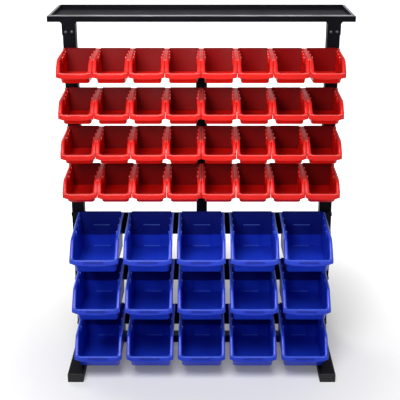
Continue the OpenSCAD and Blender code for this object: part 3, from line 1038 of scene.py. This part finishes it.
def ledge_highlights(finish, size, at):
    """A painted highlight on the upper edge of the back panel and on the edge of its foot."""
    width, drop = size["panel"]
    on_panel = 1 - finish.rise(at.across, width / 2 - EDGE, width / 2)
    ledges = 0
    for level, reach in ((size["h"] - drop, PANEL_OUT), (WALL + PANEL_OUT, 2 * PANEL_OUT)):
        near = 1 - finish.rise(finish.size_of(at.up - level), *LEDGE_NEAR)
        outside = finish.rise(at.forward, WALL + reach, WALL + reach + EDGE)
        ledges = ledges + on_panel * near * (1 - outside)
    return ledges


# %% Masks for the painted shade in a bin
BACK_SOFT = 2 * MM
RAIL_SOFT = 1.5 * MM


def rail_shade(finish, size, at):
    """Painted shade on the part of the back wall that has the rail behind it."""
    depth = WALL + PANEL_OUT
    near_back = 1 - finish.rise(at.forward, depth, depth + BACK_SOFT)
    return near_back * finish.rise(at.up, size["rail_foot"] - RAIL_SOFT, size["rail_foot"] + RAIL_SOFT)


def slot_shade(finish, size, at):
    """Painted shade on the bottom of the label slot."""
    low = slot_low(size)
    beside = finish.rise(at.across, SLOT_W / 2 - EDGE, SLOT_W / 2 + EDGE)
    ahead = finish.rise(at.forward, size["d"] - SLOT_IN - EDGE, size["d"] - SLOT_IN)
    above = finish.rise(at.up, low + SLOT_H, low + SLOT_H + EDGE)
    return (1 - beside) * ahead * finish.rise(at.up, low - EDGE, low) * (1 - above)


# %% Plastic of the bins
PLASTIC_GRAIN = 1500
GRAIN_STRENGTH = 0.06
FLOW_CLOUDS = 14
CLOUD_STOPS = (0.35, 0.7)
SCUFF_SCALE = 30
SCUFF_STRETCH = (1, 1, 14)
SCUFF_STOPS = (0.66, 0.80)
PLASTIC_ROUGH = 0.34
CLOUD_ROUGH = 0.08
SCUFF_ROUGH = 0.12
SCUFF_TINT = 0.35
# Strengths of the painted highlights on rims, lips and panel ledges, and of the painted shade in the slot and
# on the back wall
RIM_TINT = 0.85
LIP_TINT = 0.3
SLOT_TINT = 0.35
RAIL_TINT = 0.88
LEDGE_TINT = 0.4
RIM_COAT = 0.12
POLISH = {"red": 0.28, "blue": 0.45}
POLISHED = (60 * MM, 130 * MM)
# The fourth tone of each colour is painted shade, and the fifth is a painted highlight
TONES = {
    "red": dict(plain=(0.67, 0.009, 0.006, 1), cloud=(0.61, 0.007, 0.004, 1), scuff=(0.76, 0.045, 0.035, 1),
                dark=(0.11, 0.001, 0.002, 1), painted_highlight=(1.0, 0.34, 0.32, 1)),
    "blue": dict(plain=(0.013, 0.048, 0.62, 1), cloud=(0.011, 0.037, 0.53, 1), scuff=(0.03, 0.10, 0.66, 1),
                 dark=(0.004, 0.008, 0.13, 1), painted_highlight=(0.12, 0.26, 0.85, 1)),
}


def moulded_plastic(colour):
    """The plastic of all bins of one colour, polished by use towards the front."""
    finish = Finish(colour + "_polypropylene", ior=1.5, specular_ior_level=0.04, coat_roughness=0.22)
    size, tones = BINS[colour], TONES[colour]
    at = BinPlace(finish, colour)
    clouds = finish.ramp(finish.noise(FLOW_CLOUDS, detail=3), CLOUD_STOPS)
    scuffs = finish.ramp(finish.noise(SCUFF_SCALE, detail=6, stretch=SCUFF_STRETCH), SCUFF_STOPS)
    rim = rim_highlights(finish, colour, at)
    tone = finish.blend(clouds, tones["plain"], tones["cloud"])
    tone = finish.blend(SCUFF_TINT * scuffs, tone, tones["scuff"])
    # Painted highlights on the rim's edges and on the lip's front edge
    tone = finish.blend(RIM_TINT * rim + LIP_TINT * lip_highlight(finish, size, at), tone, tones["painted_highlight"])
    # Painted shade on the bottom of the label slot
    if size["panel"]:
        tone = finish.blend(SLOT_TINT * slot_shade(finish, size, at), tone, tones["dark"])
    # Painted shade on the back wall where the rail stands behind it
    tone = finish.blend(RAIL_TINT * rail_shade(finish, size, at), tone, tones["dark"])
    # Painted highlights on the back panel's ledges
    if size["panel"]:
        tone = finish.blend(LEDGE_TINT * ledge_highlights(finish, size, at), tone, tones["painted_highlight"])
    polished = POLISH[colour] * finish.rise(at.forward, *POLISHED)
    edge_coat = RIM_COAT * rim
    return finish.set(base_color=tone,
                      roughness=PLASTIC_ROUGH + CLOUD_ROUGH * clouds + SCUFF_ROUGH * scuffs,
                      coat_weight=polished + edge_coat - polished * edge_coat,
                      normal=finish.bump(finish.noise(PLASTIC_GRAIN), GRAIN_STRENGTH))


def paint(pieces, material):
    """Gives pieces one material."""
    for piece in pieces:
        piece.data.materials.clear()
        piece.data.materials.append(material)


for colour, pieces in bin_pieces.items():
    paint(pieces, moulded_plastic(colour))
    print(colour, "plastic on", len(pieces), "bins")

# %% [markdown]
# The frame is powder coated: a satin black skin with a slight orange peel. A painted highlight, broken up by
# scratches, lightens the top edges at the front and the ends of the tray. The bolts and nuts are zinc plated,
# and the plugs in the feet are plain black plastic.

# %% Powder coat
PEEL = 700
PEEL_STRENGTH = 0.1
COAT_PATCHES = 9
PATCH_STOPS = (0.35, 0.7)
SCRATCHES = 60
SCRATCH_STRETCH = (0.15, 1, 1)
SCRATCH_STOPS = (0.25, 0.6)
SCRATCH_SHARE = 0.5
COAT_ROUGH = 0.48
PATCH_ROUGH = 0.1
HIGHLIGHT_ROUGH = -0.1
COAT_TONES = ((0.002, 0.002, 0.004, 1), (0.005, 0.005, 0.008, 1))
# The grey, height and soft edge of the painted highlight on the tray's top edges
HIGHLIGHT_GREY = (0.36, 0.36, 0.38, 1)
HIGHLIGHT_DEPTH = (3.5 * MM, 1 * MM)
HIGHLIGHT_SOFT = 3 * MM


def powder_coat():
    finish = Finish("black_powder_coat", ior=1.5, specular_ior_level=0.045)
    low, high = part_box("top_tray")
    front, end = low.y + TRAY_RIM, high.x - TRAY_RIM
    # A painted highlight along the top edges of the tray's front and ends, broken up by scratches
    on_top = finish.rise(finish.along("Z"), high.z - HIGHLIGHT_DEPTH[0], high.z - HIGHLIGHT_DEPTH[1])
    in_front = 1 - finish.rise(finish.along("Y"), front - HIGHLIGHT_SOFT, front)
    at_ends = finish.rise(finish.size_of(finish.along("X")), end, end + HIGHLIGHT_SOFT)
    scratches = finish.ramp(finish.noise(SCRATCHES, detail=5, stretch=SCRATCH_STRETCH), SCRATCH_STOPS)
    on_edge = on_top * (in_front + at_ends - in_front * at_ends)
    painted_highlight = on_edge * (1 - SCRATCH_SHARE + SCRATCH_SHARE * scratches)
    patches = finish.ramp(finish.noise(COAT_PATCHES, detail=4), PATCH_STOPS)
    return finish.set(base_color=finish.blend(painted_highlight, finish.blend(patches, *COAT_TONES), HIGHLIGHT_GREY),
                      roughness=COAT_ROUGH + PATCH_ROUGH * patches + HIGHLIGHT_ROUGH * painted_highlight,
                      normal=finish.bump(finish.noise(PEEL), PEEL_STRENGTH))


# %% Zinc and plug plastic
SPANGLE = 260
SPANGLE_STOPS = (0.3, 0.75)
ZINC_TONES = ((0.05, 0.05, 0.055, 1), (0.09, 0.09, 0.10, 1))
ZINC_ROUGH = (0.4, 0.16)
PLUG_GRAIN = 1200
PLUG_STRENGTH = 0.15
PLUG_TONES = ((0.016, 0.016, 0.018, 1), (0.030, 0.030, 0.032, 1))
PLUG_ROUGH = (0.48, 0.1)


def zinc_plate():
    finish = Finish("zinc_plate", metallic=1.0)
    spangle = finish.ramp(finish.noise(SPANGLE, detail=3), SPANGLE_STOPS)
    return finish.set(base_color=finish.blend(spangle, *ZINC_TONES),
                      roughness=ZINC_ROUGH[0] + ZINC_ROUGH[1] * spangle)


def plug_plastic():
    finish = Finish("black_plug_plastic", ior=1.48, specular_ior_level=0.25)
    grain = finish.noise(PLUG_GRAIN, detail=3)
    return finish.set(base_color=finish.blend(grain, *PLUG_TONES),
                      roughness=PLUG_ROUGH[0] + PLUG_ROUGH[1] * grain,
                      normal=finish.bump(grain, PLUG_STRENGTH))


# %% Paint the frame
CARRIED = ("left_upright", "right_upright", "left_foot", "right_foot", "bottom_crossbar", "tray_brackets")

coated = [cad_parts[node] for node in CARRIED] + [tray, strut] + rails
paint(coated, powder_coat())
paint([bolts, nuts], zinc_plate())
paint([caps], plug_plastic())
print("powder coat on", len(coated), "pieces, zinc on the bolts and nuts, plastic on the end caps")

# %% [markdown]
# ## Floor, light and backdrop
# The rack stands on a pale floor that runs into a white backdrop. The white is seen by the camera and by
# reflections only, so it adds no light to the rack, and the floor keeps the rack's shadow. The floor glows
# more with its distance from the rack, which hides where it ends.

# %% Floor
FLOOR_SIZE = 40
FLOOR_GREY = (0.78, 0.78, 0.78, 1)
WHITE = (1, 1, 1, 1)
GLOW = (0.12, 0.9)
GLOW_REACH = (0.3, 1.5)


def seen_directly(finish):
    """1 for camera, glossy and transmission rays."""
    path = finish.nodes.new("ShaderNodeLightPath")
    seen = Wire(finish, path.outputs["Is Camera Ray"]) + Wire(finish, path.outputs["Is Glossy Ray"])
    total = seen + Wire(finish, path.outputs["Is Transmission Ray"])
    return finish.add("ShaderNodeClamp", {}, {"Value": total})


rest()
bpy.ops.mesh.primitive_plane_add(size=FLOOR_SIZE, location=(0, 0, 0))
floor = bpy.context.object
floor.name = "studio_floor"
floor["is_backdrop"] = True
ground = Finish("studio_floor", roughness=0.9, base_color=FLOOR_GREY)
away = ground.add("ShaderNodeVectorMath", {"operation": "LENGTH"}, {0: ground.place}, "Value")
strength = GLOW[0] + (GLOW[1] - GLOW[0]) * ground.rise(away, *GLOW_REACH)
glow = ground.add("ShaderNodeEmission", {}, {"Color": WHITE, "Strength": seen_directly(ground) * strength})
surface = ground.add("ShaderNodeAddShader", {}, {0: Wire(ground, ground.shader.outputs[0]), 1: glow})
ground.feed(ground.nodes["Material Output"].inputs["Surface"], surface)
floor.data.materials.append(ground.material)
print("floor:", FLOOR_SIZE, "m wide")

# %% Backdrop
AMBIENT = 0.13


class Backdrop(Finish):
    """The world's own node tree, with the same calls."""

    def __init__(self, tree):
        self.nodes = tree.nodes
        self.links = tree.links


world = bpy.data.worlds.new("studio")
bpy.context.scene.world = world
world.use_nodes = True
sky = Backdrop(world.node_tree)
background = sky.nodes["Background"]
sky.feed(background.inputs["Color"], WHITE)
sky.feed(background.inputs["Strength"], AMBIENT + (1 - AMBIENT) * seen_directly(sky))
print("backdrop: white to the eye, light", AMBIENT)

# %% [markdown]
# Four lamps make the studio light. The key stands in front, with a beam that is narrowed and aimed high, so
# that it lights the red bins more than the low blue rows. The light overhead is steep, so each row shades the
# one below it. The fill opens the right-hand sides, and the lamp behind is for views of the back.

# %% Lamps
KEY = dict(place=(-0.45, -1.8, 1.58), aim=(0, 0, 0.9), size=0.6, spread=math.radians(44), energy=2.2)
OVERHEAD = dict(place=(-0.3, -1.4, 2.6), aim=(0, 0, 0), energy=2.3, angle=math.radians(30))
FILL = dict(place=(1.8, -2.6, 1.2), aim=(0, 0, 0.6), size=1.8, energy=4)
BACK = dict(place=(-2.2, 1.8, 1.8), aim=(0, 0, 0.7), size=1.6, energy=24)


def hang_lamp(name, kind, place, aim, **settings):
    """A lamp at a place, turned to its aim."""
    light = bpy.data.lights.new(name, kind)
    for setting, value in settings.items():
        setattr(light, setting, value)
    lamp = bpy.data.objects.new(name, light)
    lamp.location = place
    lamp.rotation_euler = (Vector(aim) - Vector(place)).to_track_quat("-Z", "Y").to_euler()
    bpy.context.scene.collection.objects.link(lamp)


hang_lamp("key_light", "AREA", **KEY)
hang_lamp("overhead_light", "SUN", **OVERHEAD)
hang_lamp("fill_light", "AREA", **FILL)
hang_lamp("back_light", "AREA", **BACK)
bpy.context.scene.view_settings.view_transform = "Standard"
print("lamps: a key from the front, a soft light overhead, a fill from the right and one from behind")

# %% Measure the visual box
low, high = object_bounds()
print("visual box", [round(v, 4) for v in (*low, *high)])
